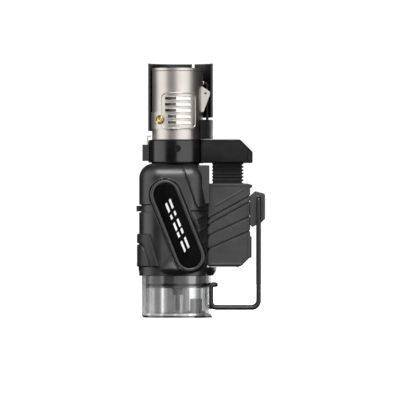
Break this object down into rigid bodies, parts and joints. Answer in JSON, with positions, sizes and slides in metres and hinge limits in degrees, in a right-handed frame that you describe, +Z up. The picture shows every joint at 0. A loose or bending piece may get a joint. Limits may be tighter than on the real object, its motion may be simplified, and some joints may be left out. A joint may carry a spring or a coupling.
{
  "type": "butane torch",
  "caption": "Pocket butane torch with a clear fuel tank, piezo thumb button, vented steel burner, heat guard, flame lever and a wire stand that folds under the tank.",
  "frame": {"origin": "centre of the fuel tank's flat base, on the burner's axis", "axes": "+Z up along the burner's axis, +X towards the thumb button and wire stand, -Y towards the vent plate"},
  "size_m": [0.0733, 0.0446, 0.145],
  "materials": {
    "clear_tank": "clear polished polycarbonate",
    "lid_plastic": "light grey acetal",
    "seal_rubber": "black nitrile rubber",
    "brass": "turned brass",
    "spring_steel": "drawn stainless wire",
    "plated_steel": "zinc plated pressing",
    "hose_plastic": "milky fuel hose",
    "shell_plastic": "black satin moulding",
    "badge_gloss": "gloss black inlay",
    "badge_rim": "satin charcoal frame",
    "grip_rubber": "soft black overmoulding",
    "housing_plastic": "dark grey glass-filled nylon",
    "button_plastic": "black moulding with a fine grain",
    "piezo_plastic": "blue moulded igniter case",
    "lever_plastic": "black acetal",
    "ring_plastic": "black heat-proof moulding",
    "cover_plastic": "black heat-proof moulding",
    "black_metal": "black anodised base",
    "burner_steel": "brushed stainless steel, faintly warm",
    "holder_steel": "sintered flame holder",
    "lead_rubber": "black silicone insulation",
    "ceramic": "white glazed ceramic",
    "guard_enamel": "black heat-proof enamel",
    "wire_enamel": "black coated steel wire",
    "black_screw": "black oxide screw"
  },
  "bodies": {
    "torch": {"fuel_tank": "clear_tank", "tank_lid": "lid_plastic", "lid_seal": "seal_rubber", "refill_valve_body": "plated_steel", "refill_seal": "seal_rubber", "refill_valve_spring": "spring_steel", "main_valve_body": "plated_steel", "dip_tube": "hose_plastic", "valve_cap": "brass", "valve_spring": "spring_steel", "gas_hose": "hose_plastic", "rocker_pin": "spring_steel", "rocker_bracket": "plated_steel", "front_shell": "shell_plastic", "rear_shell": "shell_plastic", "front_badge": "badge_gloss", "rear_badge": "badge_gloss", "front_badge_rim": "badge_rim", "rear_badge_rim": "badge_rim", "shell_screws": "black_screw", "grip_pad": "grip_rubber", "housing_front": "housing_plastic", "housing_rear": "housing_plastic", "housing_screws": "black_screw", "piezo_unit": "piezo_plastic", "piezo_cradle": "lid_plastic", "button_spring": "spring_steel", "burner_base": "black_metal", "jet_nozzle": "brass", "burner_tube": "burner_steel", "flame_holder": "holder_steel", "venturi": "brass", "vent_screw": "brass", "burner_ear": "burner_steel", "lead_cover": "cover_plastic", "ignition_lead": "lead_rubber", "electrode_insulator": "ceramic", "electrode": "spring_steel", "heat_guard": "guard_enamel", "guard_spacers": "plated_steel", "guard_screws": "black_screw", "stand_boss": "housing_plastic"},
    "button": {"button_cap": "button_plastic", "button_stem": "button_plastic", "piezo_plunger": "piezo_plastic"},
    "rocker": {"valve_rocker": "plated_steel"},
    "stem": {"valve_stem": "brass"},
    "regulator": {"regulator_wheel": "brass", "flame_lever": "lever_plastic"},
    "ring": {"flame_ring": "ring_plastic", "ring_set_screw": "black_screw", "ring_clip": "burner_steel"},
    "vent": {"vent_plate": "burner_steel"},
    "refill_pin": {"refill_valve_stem": "brass"},
    "stand": {"wire_stand": "wire_enamel"}
  },
  "joints": [
    {"name": "button_slide", "type": "slide", "parent": "torch", "child": "button", "axis": [0, 0, -1], "range_m": [0, 0.0055], "stiffness_N_per_m": 1500, "springref_m": -0.002, "deforming": ["button_spring"]},
    {"name": "rocker_tilt", "type": "hinge", "parent": "torch", "child": "rocker", "pos_m": [0.0046, 0, 0.07], "axis": [0, 1, 0], "range_deg": [0, 21]},
    {"name": "valve_stem_lift", "type": "slide", "parent": "torch", "child": "stem", "axis": [0, 0, 1], "range_m": [0, 0.0017], "deforming": ["valve_spring", "gas_hose"]},
    {"name": "flame_lever_turn", "type": "hinge", "parent": "torch", "child": "regulator", "pos_m": [0, 0, 0.0622], "axis": [0, 0, 1], "range_deg": [-18, 18]},
    {"name": "flame_ring_turn", "type": "hinge", "parent": "torch", "child": "ring", "pos_m": [0, 0, 0.095], "axis": [0, 0, 1], "range_deg": [-40, 40]},
    {"name": "vent_plate_turn", "type": "hinge", "parent": "torch", "child": "vent", "pos_m": [0, 0, 0.118], "axis": [0, 0, 1], "range_deg": [-5, 5]},
    {"name": "refill_stem_lift", "type": "slide", "parent": "torch", "child": "refill_pin", "axis": [0, 0, 1], "range_m": [0, 0.0012], "stiffness_N_per_m": 300, "springref_m": -0.001, "deforming": ["refill_valve_spring"]},
    {"name": "stand_swing", "type": "hinge", "parent": "torch", "child": "stand", "pos_m": [0.0463, 0, 0.068], "axis": [0, -1, 0], "range_deg": [0, 110]}
  ],
  "couplings": [
    {"joint": "rocker_tilt", "follows": "button_slide", "rad_per_m": 63.4},
    {"joint": "valve_stem_lift", "follows": "button_slide", "ratio": 0.309}
  ]
}
